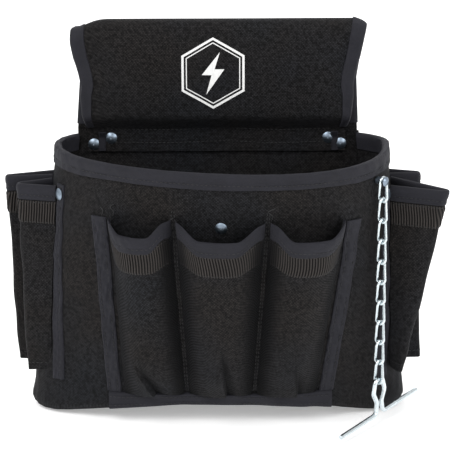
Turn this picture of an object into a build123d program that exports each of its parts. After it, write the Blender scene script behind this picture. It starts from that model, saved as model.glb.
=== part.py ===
from build123d import *
import math
import os

os.makedirs("parts", exist_ok=True)

# Electrician's tool pouch in woven nylon: a belt tunnel above a flat back panel, one big open
# compartment, three bulging front pockets, two flat sheath pockets on each side, and a twist-link
# chain with a T-bar for rolls of tape.
# Millimetres. X to the right seen from the front, Y to the wearer's body, Z up. The origin is the
# centre of the belt tunnel's slot.

# ---- driving dimensions ----
CLOTH = 2.4              # two layers of nylon with their lining
TAPE = 1.2               # binding tape
GAP = 0.3                # clearance between separate sewn layers
BINDING = 13.0           # height of a folded binding
BAND = 17.0              # height of a ribbed band

TUNNEL_TOP = 47.0
TUNNEL_LOW = -44.0
TUNNEL_DEPTH = 14.0      # slot, front to back
SEAM_LOW = -63.0         # lower edge of the tunnel's sewn flange
FLANGE = (-107.9, 101.3) # the flange's ends, inside the body wall
BACK_FACE = 8.0          # flat back of the back panel
BACK_FRONT = BACK_FACE - CLOTH
PAD_FACE = BACK_FACE + 1.9

RIM_Z = -48.0            # upper edge of the main compartment
LOW_Z = -252.0           # bottom seam at the middle
BODY_LEFT = (131.0, 156.0)     # half widths, rim and bottom
BODY_RIGHT = (132.5, 149.5)
BODY_DEPTH = (115.0, 75.0)
WIDEST_Y = (-18.0, -27.0)      # where the body is widest
ATTACH_LEFT = (117.0, 134.0)   # where the body wall meets the back panel
ATTACH_RIGHT = (111.0, 130.0)
SKEW = (0.20, 0.0)             # the right side stands further forward at the rim
ROUND = 2.2                    # exponent of the plan curve

POCKET_EDGES = ((-91.0, -79.0), (-38.4, -27.4), (38.4, 25.4), (101.0, 76.0))
POCKET_TOP = -91.0
POCKET_SCOOP = 8.0
POCKET_LOW = -243.0
POCKET_BULGE = ((-80.0, 23.0), (-190.0, 22.0), (-226.0, 17.0), (POCKET_LOW, 5.0))
SEAM_ROOM = 2.0          # from a pocket's side to the stitched divider
SIDE_TAPE = 11.0

RIVET_HEAD = 4.75
RIVET_HOLE = 1.55
RIVET_SHANK = 1.5

CHAIN_X, CHAIN_Y = 125.5, -77.0
CHAIN_TOP = -62.5        # centre of the first link's upper wire
CHAIN_TURN = 50.0        # plan angle of each link's upper wire
LINKS = 10
PITCH = 16.9
WIRE = 2.5
LINK_HALF = 4.0          # half width, at the wire's centre
PLAY = 0.3
BAR_WIRE = 3.8
BAR_LENGTH = 104.0
BAR_TILT = 4.0


def between(pair, z):
    """The value at height z of a size given at the rim and at the bottom."""
    share = (RIM_Z - z) / (RIM_Z - LOW_Z)
    return pair[0] + (pair[1] - pair[0]) * share


# ---- plan curve of the main body ----
def body_curve(u, z):
    """A point of the body's outer face: u is -1 at the back's left end, 0 in front and 1 at its right end."""
    half = between(BODY_LEFT if u < 0 else BODY_RIGHT, z)
    attach = between(ATTACH_LEFT if u < 0 else ATTACH_RIGHT, z)
    wide_y = between(WIDEST_Y, z)
    side = -1 if u < 0 else 1
    if abs(u) <= 0.8:
        angle = math.radians(90 * abs(u) / 0.8)
        x = half * math.sin(angle) ** (2 / ROUND)
        reach = (between(BODY_DEPTH, z) + wide_y) * math.cos(angle) ** (2 / ROUND)
        y = wide_y - reach * (1 + between(SKEW, z) * side * x / half)
    else:
        turn = math.acos(attach / half)
        angle = turn * (abs(u) - 0.8) / 0.2
        x = half * math.cos(angle)
        y = wide_y + (BACK_FRONT - GAP - wide_y) * math.sin(angle) / math.sin(turn)
    return Vector(side * x, y, z)


def level_point(u, z, off):
    """A point off millimetres outside the body's outline at the rim or at the bottom."""
    along = body_curve(u + 0.004, z) - body_curve(u - 0.004, z)
    out = Vector(along.Y, -along.X, 0).normalized()
    return body_curve(u, z) + out * off


def wall_point(u, z, off=0.0):
    """A point off millimetres outside the body's outer face, which is ruled from rim to bottom."""
    share = (RIM_Z - z) / (RIM_Z - LOW_Z)
    return level_point(u, RIM_Z, off) * (1 - share) + level_point(u, LOW_Z, off) * share


def wall_normal(u, z):
    """The outward direction of the body's leaning wall."""
    along = wall_point(u + 0.004, z) - wall_point(u - 0.004, z)
    down = wall_point(u, z - 5) - wall_point(u, z + 5)
    return along.cross(down).normalized() * -1


def u_at(x, z):
    """The u of the front half's point at x."""
    half = between(BODY_LEFT if x < 0 else BODY_RIGHT, z)
    share = min(abs(x) / half, 1.0)
    return math.copysign(0.8 * math.degrees(math.asin(share ** (ROUND / 2))) / 90, x)


def steps(first, last, count):
    return [first + (last - first) * i / (count - 1) for i in range(count)]


def row_edge(points):
    """A smooth edge through points, evenly timed, so that edges lofted together match point by point."""
    return Edge.make_spline(points, parameters=steps(0.0, 1.0, len(points)))


def closed_face(outer, inner):
    """The face between two open rows of points, joined at their ends."""
    row_a = row_edge(outer)
    row_b = row_edge(inner[::-1])
    ends = [(row_a @ 1, row_b @ 0), (row_b @ 1, row_a @ 0)]
    joins = [Line(*pair) for pair in ends if (pair[1] - pair[0]).length > 0.001]
    return make_face([row_a, row_b, *joins])


def wall_band(outside, inside, u_range, heights, count=21):
    """A strip that follows the body wall, between two offsets from its outer face."""
    faces = []
    for z in heights:
        first, last = u_range(z) if callable(u_range) else u_range
        row = steps(first, last, count)
        outer = [wall_point(u, z, outside) for u in row]
        inner = [wall_point(u, z, inside) for u in row]
        faces.append(closed_face(outer, inner))
    return loft(faces, ruled=True)


def slab(x0, x1, y0, y1, z0, z1):
    return Pos((x0 + x1) / 2, (y0 + y1) / 2, (z0 + z1) / 2) * Box(x1 - x0, y1 - y0, z1 - z0)


def front_profile(points, y0=-200.0, y1=60.0):
    """A solid with this outline in the XZ plane, from y0 to y1."""
    face = make_face(Polyline(*[(x, y0, z) for x, z in points], close=True))
    return extrude(face, amount=y1 - y0, dir=(0, 1, 0))


def save(shape, node):
    shape.label = node
    export_step(shape, f"parts/{node}.step")


# ---- main body ----
IN_FRONT = slab(-220, 220, -220, BACK_FRONT - GAP, -320, 80)


def bottom_line(lift):
    """The body's sagging bottom edge, and the region above it."""
    edge = Spline(
        (-168, 0, -261 + lift), (-156, 0, -267 + lift), (-142, 0, -268.5 + lift), (-120, 0, -265 + lift),
        (-90, 0, -259.5 + lift), (-40, 0, -254 + lift), (25, 0, -254 + lift), (80, 0, -258 + lift),
        (112, 0, -265.5 + lift), (135, 0, -268.5 + lift), (149, 0, -267 + lift), (162, 0, -261 + lift),
    )
    top = Polyline(edge @ 1, (162, 0, 90), (-168, 0, 90), edge @ 0)
    face = make_face([edge, top])
    return Pos(0, -200, 0) * extrude(face, amount=260, dir=(0, 1, 0))


def main_body():
    tall = (RIM_Z - 1.6, -280.0)
    shell = wall_band(0.0, -CLOTH, (-1.03, 1.03), tall, 33) & IN_FRONT & bottom_line(0)
    rim = wall_band(GAP + TAPE, -CLOTH - GAP - TAPE, (-1.03, 1.03), (RIM_Z, -280.0), 33)
    groove = wall_band(GAP, -CLOTH - GAP, (-1.03, 1.03), (RIM_Z - 1.4, -281.0), 33)
    return shell, (rim - groove) & IN_FRONT & slab(-200, 200, -200, 50, RIM_Z - BINDING, 0)


def filled_body(off, high, low):
    """The whole space inside the body's wall, moved out by off."""
    faces = []
    for z in (high, low):
        row = row_edge([wall_point(u, z, off) for u in steps(-1.03, 1.03, 33)])
        faces.append(make_face([row, Line(row @ 1, row @ 0)]))
    return loft(faces, ruled=True)


def bottom_panel():
    inside = filled_body(-CLOTH + 0.2, RIM_Z - 1.6, -280) & IN_FRONT & bottom_line(0)
    return (inside - bottom_line(CLOTH)) - body_shell


body_shell, rim_binding = main_body()
ENVELOPE = filled_body(GAP, RIM_Z - 1.6, -280)

# ---- back panel and belt tunnel ----
PINCH = ((-118.5, TUNNEL_TOP + 3), (-112.5, -2.0), (-116.0, TUNNEL_LOW), (-116.0, SEAM_LOW - 30))
PINCH_RIGHT = ((120.0, TUNNEL_TOP + 3), (110.0, -2.0), (112.0, TUNNEL_LOW), (112.0, SEAM_LOW - 30))


def tunnel_outline(inset):
    """The hourglass outline of the tunnel, its sides moved in by inset."""
    left = [(x + inset, z) for x, z in PINCH]
    right = [(x - inset, z) for x, z in PINCH_RIGHT[::-1]]
    return front_profile(left + right)


def tunnel_section(grow, low):
    """The tunnel's loop in the YZ plane: its outer face, moved out by grow."""
    back = BACK_FACE + grow
    front = -TUNNEL_DEPTH / 2 - CLOTH / 2 - grow
    top = TUNNEL_TOP + grow
    fold = (back - front) / 2
    edge = [
        Line((0, back, low), (0, back, top - fold)),
        ThreePointArc((0, back, top - fold), (0, (back + front) / 2, top), (0, front, top - fold)),
        Line((0, front, top - fold), (0, front, TUNNEL_LOW + 16)),
    ]
    seam_y = BACK_FRONT - CLOTH - GAP - grow
    edge.append(Spline(
        (0, front, TUNNEL_LOW + 16), (0, (front + seam_y) / 2, TUNNEL_LOW + 6), (0, seam_y, TUNNEL_LOW - 2),
        tangents=[(0, 0, -1), (0, 0.2, -1)],
    ))
    edge.append(Line((0, seam_y, TUNNEL_LOW - 2), (0, seam_y, low)))
    edge.append(Line((0, seam_y, low), (0, back, low)))
    return Pos(-140, 0, 0) * extrude(make_face(edge), amount=280, dir=(1, 0, 0))


slot = tunnel_section(-CLOTH, SEAM_LOW) & slab(-150, 150, -20, 20, TUNNEL_LOW, 60)
tunnel_low = slab(-150, 150, BACK_FRONT - GAP, 20, -90, TUNNEL_LOW - 3)
belt_tunnel = (tunnel_section(0, SEAM_LOW) - slot - tunnel_low) & tunnel_outline(0)
belt_tunnel -= slab(-150, FLANGE[0], -20, 20, -90, TUNNEL_LOW - 2)
belt_tunnel -= slab(FLANGE[1], 150, -20, 20, -90, TUNNEL_LOW - 2)
tunnel_skin = (tunnel_section(GAP + TAPE, SEAM_LOW) - tunnel_section(GAP, SEAM_LOW - 5)) & tunnel_outline(0)
tunnel_tapes = (tunnel_skin - tunnel_outline(12)) & slab(-150, 150, -30, 30, TUNNEL_LOW + 1, 80)
tape_solids = tunnel_tapes.solids()

BACK_OUTLINE = [(-116, TUNNEL_LOW - 3.3), (-133, -238), (-136, -260), (-120, -264), (-60, -255), (0, -252)]
BACK_OUTLINE += [(60, -255), (112, -264), (130, -262), (129, -238), (112, TUNNEL_LOW - 3.3)]
back_panel = front_profile(BACK_OUTLINE) & slab(-200, 200, BACK_FRONT, BACK_FACE, -300, 0)
# A sewn-on pad, clear of the bindings and burrs, is what lies against the wearer.
PAD_OUTLINE = [(-102, -70), (-114, -232), (-104, -244), (100, -244), (110, -232), (97, -70)]
back_panel += front_profile(PAD_OUTLINE) & slab(-200, 200, BACK_FACE - 0.5, PAD_FACE, -300, 0)


def back_edge(side, top_x, low_x):
    """Binding down one edge of the back panel, folded over its rear face."""
    outline = [(top_x, -62), (low_x, -235), (low_x - side * 12, -235), (top_x - side * 12, -62)]
    return front_profile(outline) & slab(-200, 200, BACK_FACE + GAP, BACK_FACE + GAP + TAPE, -300, 0)


# ---- front pockets ----
def bulge_at(z):
    for (high, big), (low, small) in zip(POCKET_BULGE, POCKET_BULGE[1:]):
        if z >= low:
            return big + (small - big) * (high - z) / (high - low)
    return POCKET_BULGE[-1][1]


def pocket_span(index, z, off):
    left = between(POCKET_EDGES[index], z) + SEAM_ROOM - off
    right = between(POCKET_EDGES[index + 1], z) - SEAM_ROOM + off
    return left, right


def pocket_row(index, z, off, count=15):
    """Points across one pocket's bulging front, moved out by off."""
    left, right = pocket_span(index, z, off)
    row = []
    for i in range(count):
        turn = math.pi * i / (count - 1)
        x = (left + right) / 2 - (right - left) / 2 * math.cos(turn)
        row.append(wall_point(u_at(x, z), z, GAP + (bulge_at(z) + off) * math.sin(turn) ** 0.85))
    return row


def pocket_solid(index, off, root=-1.5):
    """A pocket's whole space, its front moved out by off, reaching into the body as far as root."""
    faces = []
    for z in [z for z, _ in POCKET_BULGE]:
        front = pocket_row(index, z, off)
        back = [wall_point(u_at(x, z), z, root) for x in steps(*pocket_span(index, z, off), 9)]
        faces.append(closed_face(front, back))
    return loft(faces, ruled=True)


def scooped(index, drop):
    """The region under a pocket's scooped upper edge, lowered by drop."""
    left = between(POCKET_EDGES[index], POCKET_TOP) - 4
    right = between(POCKET_EDGES[index + 1], POCKET_TOP) + 4
    ends = POCKET_TOP - drop - (4 if index == 0 else 0), POCKET_TOP - drop - (2 if index == 2 else 0)
    low = POCKET_TOP - POCKET_SCOOP - drop
    edge = ThreePointArc((left, 0, ends[0]), ((left + right) / 2, 0, low), (right, 0, ends[1]))
    rest = Polyline(edge @ 1, (right, 0, -290), (left, 0, -290), edge @ 0)
    face = make_face([edge, rest])
    return Pos(0, -200, 0) * extrude(face, amount=200, dir=(0, 1, 0))


PLACES = ("left", "centre", "right")


def front_pocket(index):
    floor = slab(-200, 200, -200, 0, POCKET_LOW - 5, POCKET_LOW + CLOTH)
    wall = pocket_solid(index, 0) - (pocket_solid(index, -CLOTH, -4) - floor)
    band_top = POCKET_TOP - POCKET_SCOOP - BINDING - 2
    over = pocket_solid(index, 1.0) - pocket_solid(index, -CLOTH - 1.0, -4)
    binding = (over & scooped(index, 0)) - scooped(index, BINDING)
    ribs = pocket_solid(index, 1.5) - pocket_solid(index, GAP, -4)
    band = ribs & slab(-200, 200, -200, 0, band_top - BAND, band_top)
    return (wall & scooped(index, BINDING + GAP)) - ENVELOPE, binding - ENVELOPE, band - ENVELOPE


def panel_side(index, side):
    """Tape down the left or the right edge of the front pocket panel."""
    def reach(z):
        inner = between(POCKET_EDGES[index], z) + side * 3 * GAP
        outer = inner + side * SIDE_TAPE
        return u_at(min(inner, outer), z), u_at(max(inner, outer), z)
    return wall_band(GAP + 3.2, -1.0, reach, (-94.0, -168.0, POCKET_LOW + 0.5), 5) - ENVELOPE


# ---- sheath pockets ----
class Sheath:
    """A flat pocket that stands out from the side of the body, open at the top."""

    def __init__(self, name, seams, tips, top, low, corner):
        self.name, self.seams, self.tips = name, seams, tips
        self.top, self.low, self.corner = top, low, corner

    def section(self, z, inset, base):
        """The plan outline at z, its two walls moved in by inset and its root moved towards the body."""
        share = (self.top - z) / (self.top - self.low)
        first, last = [a + (b - a) * share for a, b in self.seams]
        real_tip = Vector(*[a + (b - a) * share for a, b in self.tips], z)
        tip = real_tip
        start, end = wall_point(first, z, 1.0), wall_point(last, z, 1.0)
        middle = (start + end) / 2
        for _ in range(3):
            narrow = math.radians((start - tip).get_angle(end - tip)) / 2
            drawn_in = self.corner * (1 / math.sin(narrow) - 1)
            tip = real_tip + (real_tip - middle).normalized() * drawn_in
        sides = []
        for foot in (start, end):
            run = (tip - foot).normalized()
            across = Vector(-run.Y, run.X, 0)
            if across.dot(middle - foot) < 0:
                across = across * -1
            sides.append((foot + across * inset, run))
        (foot_a, run_a), (foot_b, run_b) = sides
        bend = run_a.X * run_b.Y - run_a.Y * run_b.X
        away = foot_b - foot_a
        new_tip = foot_a + run_a * ((away.X * run_b.Y - away.Y * run_b.X) / bend)
        foot_a, foot_b = foot_a - run_a * base, foot_b - run_b * base
        radius = max(self.corner - inset, 0.8)
        path = FilletPolyline(foot_a, new_tip, foot_b, radius=radius)
        return make_face([*path.edges(), Line(foot_b, foot_a)])

    def block(self, inset, base, high, low):
        return loft([self.section(z, inset, base) for z in (high, low)], ruled=True)

    def pieces(self):
        outer = self.block(0, 4, self.top + 5, self.low)
        low = self.top - BINDING
        pocket = (outer - self.block(CLOTH, 6, self.top + 6, self.low + CLOTH)) & below(low - GAP)
        bound = self.block(-1.0, 4, self.top + 5, self.low)
        bound -= self.block(CLOTH + 0.8, 6, self.top + 6, self.low)
        binding = (bound & below(self.top)) - below(low)
        ribs = self.block(-1.5, 4, self.top + 5, self.low) - self.block(-GAP, 6, self.top + 6, self.low - 1)
        band = (ribs & below(low - 2)) - below(low - 2 - BAND)
        return [(piece & IN_FRONT) - ENVELOPE for piece in (pocket, binding, band)]


def below(z):
    return slab(-250, 250, -220, 60, -300, z)


SHEATHS = (
    Sheath("left_front", ((-0.650, -0.560), (-0.800, -0.790)), ((-162.5, -158), (-34, -50)), -78, -232, 3.6),
    Sheath("left_rear", ((-0.840, -0.836), (-0.985, -0.985)), ((-175, -169), (-16, -14)), -77, -236, 3.2),
    Sheath("right_front", ((0.690, 0.570), (0.800, 0.785)), ((179, 146), (-60, -63)), -78, -230, 3.6),
    Sheath("right_rear", ((0.832, 0.836), (0.985, 0.985)), ((161.5, 165), (-11, -14)), -77, -236, 3.2),
)


def sheath_seam(sheath):
    """Tape over the front seam of a front sheath pocket."""
    def reach(z):
        share = (sheath.top - z) / (sheath.top - sheath.low)
        first, last = sheath.seams[0]
        middle = first + (last - first) * share
        inner = -0.012 if middle < 0 else 0.012
        ends = middle - inner * 1.7, middle - inner * 5.7
        return min(ends), max(ends)
    return wall_band(GAP + 2.0, -1.0, reach, (sheath.top + 4, -155.0, sheath.low - 3), 5) - ENVELOPE


# ---- rivets ----
def rivet(place, out, grip, head=RIVET_HEAD):
    """A domed head at place, facing out, with a shank that reaches grip millimetres behind it."""
    height = 1.7
    lift = head * 1.6 - height
    cap = Pos(0, 0, -lift) * (Sphere(head * 1.6) & Pos(0, 0, lift + 5) * Box(4 * head, 4 * head, 10))
    shank = Pos(0, 0, -grip / 2) * Cylinder(RIVET_SHANK, grip)
    return Plane(origin=place, z_dir=out) * (cap + shank)


def burr(place, out, thick=1.0):
    washer = Cylinder(RIVET_HEAD - 0.4, thick) - Cylinder(RIVET_SHANK + 0.03, thick + 1)
    return Plane(origin=place, z_dir=out) * Pos(0, 0, thick / 2) * washer


def drill(place, out, depth=40.0):
    return Plane(origin=place, z_dir=out) * Cylinder(RIVET_HOLE, depth)


seam_front = BACK_FRONT - CLOTH - GAP
back_places = [Vector(x, seam_front - 0.02, z) for x, z in ((-89, -52), (87, -52), (-103, -57), (97, -57))]
TO_FRONT, TO_BACK = Vector(0, -1, 0), Vector(0, 1, 0)
back_rivets = [rivet(p, TO_FRONT, 6.2) for p in back_places]
back_burrs = [burr(Vector(p.X, BACK_FACE + 0.02, p.Z), TO_BACK) for p in back_places]
for p in back_places:
    belt_tunnel -= drill(p, TO_FRONT)
    back_panel -= drill(p, TO_FRONT)


def wall_rivet(u, z, off, grip):
    """A rivet through the body wall, its hole and its burr inside."""
    out = wall_normal(u, z)
    place = wall_point(u, z) + out * off
    inside = wall_point(u, z) - out * (CLOTH + 0.35)
    return rivet(place, out, grip), burr(inside, out * -1), drill(place, out, 14.0)


front_rivet, front_burr, hole = wall_rivet(0.0, -94.0, 0.04, CLOTH + 1.4)
body_shell -= hole

save(belt_tunnel, "belt_tunnel")
left_tape, right_tape = sorted(tape_solids, key=lambda s: s.center().X)
save(left_tape, "tunnel_binding_left")
save(right_tape, "tunnel_binding_right")
save(back_panel, "back_panel")
save(back_edge(-1, -119, -133), "back_binding_left")
save(back_edge(1, 113, 129), "back_binding_right")
save(bottom_panel(), "bottom_panel")
save(Compound(back_rivets), "back_rivets")
save(front_rivet, "front_rivet")

for index, place in enumerate(PLACES):
    pocket, binding, band = front_pocket(index)
    save(pocket, f"front_pocket_{place}")
    save(binding, f"front_pocket_{place}_binding")
    save(band, f"front_pocket_{place}_band")
save(panel_side(0, -1), "panel_binding_left")
save(panel_side(3, 1), "panel_binding_right")


def hem_reach(z):
    return u_at(between(POCKET_EDGES[0], z) - SIDE_TAPE, z), u_at(between(POCKET_EDGES[3], z) + SIDE_TAPE, z)


hem = wall_band(GAP + 3.6, -1.0, hem_reach, (POCKET_LOW - GAP, POCKET_LOW - 20), 11)
save((hem & bottom_line(0.5)) - ENVELOPE, "panel_binding_bottom")

# ---- sheath pockets with their seam rivets ----
sheath_rivets, sheath_burrs = [], []
for sheath in SHEATHS:
    pocket, binding, band = sheath.pieces()
    if sheath.name.endswith("front"):
        seam = sheath_seam(sheath)
        first, last = sheath.seams[0]
        u_rivet = first - math.copysign(0.046, first)
        pin, washer, hole = wall_rivet(u_rivet, -83.0, GAP + 2.04, CLOTH + 3.5)
        body_shell -= hole
        sheath_rivets.append(pin)
        sheath_burrs.append(washer)
        save(seam - hole, f"sheath_{sheath.name}_seam")
    save(pocket, f"sheath_{sheath.name}")
    save(binding, f"sheath_{sheath.name}_binding")
    save(band, f"sheath_{sheath.name}_band")
save(Compound(sheath_rivets), "sheath_rivets")

# ---- chain rivet: the first link hangs on its shank, held off the cloth by a spacer ----
TOP_DIR = Vector(math.cos(math.radians(CHAIN_TURN)), math.sin(math.radians(CHAIN_TURN)), 0)
OUT_DIR = Vector(TOP_DIR.Y, -TOP_DIR.X, 0)
UP = Vector(0, 0, 1)
CHAIN_HEAD = Vector(CHAIN_X, CHAIN_Y, CHAIN_TOP)
PIN = 1.5
PIN_HEAD = 3.2

pin_centre = CHAIN_HEAD - UP * (WIRE / 2 + PIN + 0.1)


def off_square(u):
    """How far the wall's point at u lies along TOP_DIR from the pin."""
    return abs((wall_point(u, pin_centre.Z) - pin_centre).dot(TOP_DIR))


wall_u = min(steps(0.55, 0.79, 97), key=off_square)
stand_off = (pin_centre - wall_point(wall_u, pin_centre.Z)).dot(OUT_DIR)
reach_in = stand_off + CLOTH + 3.0
LINK_ROOM = WIRE / 2 + 1.2   # the first link's share of the shank, each side of its plane
chain_rivet = rivet(pin_centre + OUT_DIR * LINK_ROOM, OUT_DIR, reach_in + WIRE / 2, PIN_HEAD)
spacer_length = stand_off - LINK_ROOM - 1.0
spacer = Cylinder(2.8, spacer_length) - Cylinder(PIN + 0.03, 20)
spacer = Plane(origin=pin_centre - OUT_DIR * (LINK_ROOM + spacer_length / 2), z_dir=OUT_DIR) * spacer
chain_hole = drill(pin_centre, OUT_DIR, 2 * reach_in + 4)
chain_burr = burr(pin_centre - OUT_DIR * (stand_off + CLOTH + 1.3), OUT_DIR * -1)
body_shell -= chain_hole
rim_binding -= chain_hole
save(rim_binding, "rim_binding")
save(body_shell, "main_body")
save(chain_rivet, "chain_rivet")
save(spacer, "chain_spacer")
save(Compound(back_burrs + [front_burr, chain_burr] + sheath_burrs), "rivet_burrs")


# ---- chain: each link is a rounded loop of wire twisted a quarter turn ----
def link(head):
    """A link whose upper wire is centred at head and runs along TOP_DIR."""
    length = PITCH + WIRE + PLAY
    foot = head - UP * length
    corners = [head - TOP_DIR * LINK_HALF, head + TOP_DIR * LINK_HALF,
               foot + OUT_DIR * LINK_HALF, foot - OUT_DIR * LINK_HALF]
    middle = (corners[1] + corners[2]) / 2
    other = (corners[3] + corners[0]) / 2
    halves = []
    for start, run, end in ((other, corners[:2], middle), (middle, corners[2:], other)):
        path = FilletPolyline(start, *run, end, radius=LINK_HALF - 0.35)
        halves.append(sweep(Plane(origin=path @ 0, z_dir=path % 0) * Circle(WIRE / 2), path=path))
    return halves[0] + halves[1]


heads = [CHAIN_HEAD - UP * PITCH * i for i in range(LINKS)]
for number, head in enumerate(heads, 1):
    save(link(head), f"chain_link_{number}")

# ---- T-bar: one bent wire, its loop round the last link's lower wire ----
last_low = heads[-1] - UP * (PITCH + WIRE + PLAY)


def in_bar(along, up):
    """A point of the T-bar's own plane, which leans by the bar's tilt about the last link's wire."""
    tilt = math.radians(BAR_TILT)
    return last_low + TOP_DIR * (along * math.cos(tilt) - up * math.sin(tilt)) + UP * (
        along * math.sin(tilt) + up * math.cos(tilt))


LOOP_HALF = 7.4
BAR_RISE = WIRE / 2 + BAR_WIRE / 2 + PLAY
bar_path = FilletPolyline(
    in_bar(-BAR_LENGTH / 2, -26.5), in_bar(-4.5, -26.5), in_bar(-3.0, -16), in_bar(-LOOP_HALF, -7),
    in_bar(-4.6, BAR_RISE), in_bar(4.6, BAR_RISE), in_bar(LOOP_HALF, -7), in_bar(3.0, -16),
    in_bar(4.5, -26.5), in_bar(BAR_LENGTH / 2, -26.5),
    radius=[4, 5, 5, 3.6, 3.6, 5, 5, 4],
)
tape_bar = sweep(Plane(origin=bar_path @ 0, z_dir=bar_path % 0) * Circle(BAR_WIRE / 2), path=bar_path)
save(tape_bar, "tape_bar")
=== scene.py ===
import math

import bpy
import numpy as np
from mathutils import Matrix, Vector


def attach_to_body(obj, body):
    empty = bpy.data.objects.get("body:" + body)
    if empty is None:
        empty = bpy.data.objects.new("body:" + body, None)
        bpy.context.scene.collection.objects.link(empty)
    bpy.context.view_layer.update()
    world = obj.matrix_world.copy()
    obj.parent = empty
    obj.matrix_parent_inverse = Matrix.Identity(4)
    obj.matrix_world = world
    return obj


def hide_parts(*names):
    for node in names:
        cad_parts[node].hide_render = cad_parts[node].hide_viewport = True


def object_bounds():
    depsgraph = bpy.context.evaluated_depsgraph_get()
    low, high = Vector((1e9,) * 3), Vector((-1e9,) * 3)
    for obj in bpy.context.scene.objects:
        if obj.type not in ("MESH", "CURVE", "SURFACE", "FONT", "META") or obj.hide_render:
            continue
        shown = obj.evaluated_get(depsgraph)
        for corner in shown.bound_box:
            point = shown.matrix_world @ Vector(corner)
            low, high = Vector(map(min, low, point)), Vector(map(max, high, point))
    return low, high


# The looks of an electrician's tool pouch in woven nylon. Sizes below are millimetres in the frame's
# own axes, X to the right, Y to the wearer and Z up, and become metres where a mesh is made.
MM = 0.001

# ---- sizes shared with the frame ----
CLOTH = 2.4
TAPE = 1.2
GAP = 0.3
BINDING = 13.0
BAND = 17.0
TUNNEL_TOP = 47.0
TUNNEL_LOW = -44.0
SEAM_LOW = -63.0
BACK_FACE = 8.0
BACK_FRONT = 5.6
TUNNEL_FRONT = -8.2
RIM_Z = -48.0
LOW_Z = -252.0
BODY_LEFT = (131.0, 156.0)
BODY_RIGHT = (132.5, 149.5)
BODY_DEPTH = (115.0, 75.0)
WIDEST_Y = (-18.0, -27.0)
ATTACH_LEFT = (117.0, 134.0)
ATTACH_RIGHT = (111.0, 130.0)
SKEW = (0.20, 0.0)
ROUND = 2.2
POCKET_EDGES = ((-91.0, -79.0), (-38.4, -27.4), (38.4, 25.4), (101.0, 76.0))
POCKET_TOP = -91.0
POCKET_SCOOP = 8.0
POCKET_LOW = -243.0
POCKET_BULGE = ((-80.0, 23.0), (-190.0, 22.0), (-226.0, 17.0), (POCKET_LOW, 5.0))
SEAM_ROOM = 2.0
SIDE_TAPE = 11.0
BOTTOM_LINE = ((-168, -261), (-156, -267), (-142, -268.5), (-120, -265), (-90, -259.5), (-40, -254),
               (25, -254), (80, -258), (112, -265.5), (135, -268.5), (149, -267), (162, -261))
SHEATHS = {
    "left_front": (((-0.650, -0.560), (-0.800, -0.790)), ((-162.5, -158), (-34, -50)), -78, -232, 3.6),
    "left_rear": (((-0.840, -0.836), (-0.985, -0.985)), ((-175, -169), (-16, -14)), -77, -236, 3.2),
    "right_front": (((0.690, 0.570), (0.800, 0.785)), ((179, 146), (-60, -63)), -78, -230, 3.6),
    "right_rear": (((0.832, 0.836), (0.985, 0.985)), ((161.5, 165), (-11, -14)), -77, -236, 3.2),
}
RIB_PITCH = 2.2
PINCH = {"z": (-90.0, -44.0, -2.0, 50.0), "left": (-116.0, -116.0, -112.5, -118.5),
         "right": (112.0, 110.5, 108.5, 116.5)}

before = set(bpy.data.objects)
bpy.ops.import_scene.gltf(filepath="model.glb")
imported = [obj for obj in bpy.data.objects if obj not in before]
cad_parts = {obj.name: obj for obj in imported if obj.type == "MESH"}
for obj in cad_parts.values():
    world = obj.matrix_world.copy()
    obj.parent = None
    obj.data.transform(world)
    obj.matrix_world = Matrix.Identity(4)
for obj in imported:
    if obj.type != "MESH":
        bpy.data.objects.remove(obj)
cad_box = [list(corner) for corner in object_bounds()]


# ---- helpers for shapes ----
def smooth(low, high, value):
    """0 below low, 1 above high, and a soft step between them."""
    t = np.clip((np.asarray(value, float) - low) / (high - low), 0.0, 1.0)
    return t * t * (3 - 2 * t)


def ripple(a, b, size, seed, waves=7):
    """Soft random waves over two coordinates, from about -1 to 1."""
    rng = np.random.default_rng(seed)
    total = 0.0
    for _ in range(waves):
        turn, phase = rng.uniform(0, 2 * math.pi, 2)
        length = size * rng.uniform(0.6, 1.7)
        total = total + np.sin((a * math.cos(turn) + b * math.sin(turn)) * 2 * math.pi / length + phase)
    return total / waves ** 0.5


def between(pair, z):
    """The value at height z of a size given at the rim and at the bottom."""
    share = (RIM_Z - z) / (RIM_Z - LOW_Z)
    return pair[0] + (pair[1] - pair[0]) * share


def body_curve(u, z):
    """The body's outer outline at one height: u runs from -1 round the front to 1."""
    u = np.asarray(u, float)
    right = u >= 0
    side = np.where(right, 1.0, -1.0)
    half = np.where(right, between(BODY_RIGHT, z), between(BODY_LEFT, z))
    attach = np.where(right, between(ATTACH_RIGHT, z), between(ATTACH_LEFT, z))
    wide_y = between(WIDEST_Y, z)
    angle = np.radians(90 * np.minimum(np.abs(u), 0.8) / 0.8)
    x = half * np.sin(angle) ** (2 / ROUND)
    reach = (between(BODY_DEPTH, z) + wide_y) * np.clip(np.cos(angle), 0, 1) ** (2 / ROUND)
    y = wide_y - reach * (1 + between(SKEW, z) * side * x / half)
    turn = np.arccos(attach / half)
    bend = turn * np.maximum(np.abs(u) - 0.8, 0) / 0.2
    x_back = half * np.cos(bend)
    y_back = wide_y + (BACK_FRONT - GAP - wide_y) * np.sin(bend) / np.sin(turn)
    front = np.abs(u) <= 0.8
    return np.stack([side * np.where(front, x, x_back), np.where(front, y, y_back)], -1)


def level_point(u, z, off):
    """Plan points off millimetres outside the outline at one height."""
    along = body_curve(u + 0.004, z) - body_curve(u - 0.004, z)
    out = np.stack([along[..., 1], -along[..., 0]], -1)
    out /= np.linalg.norm(out, axis=-1, keepdims=True)
    return body_curve(u, z) + out * np.asarray(off, float)[..., None]


WALL_ARC = 260.0         # length of the wall's plan curve per unit of u, near enough for ripples
# (u, z) of each rivet through the wall
RIVET_SPOTS = ((0.0, -94.0), (-0.604, -83.0), (0.644, -83.0), (0.60, -65.4))


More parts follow.
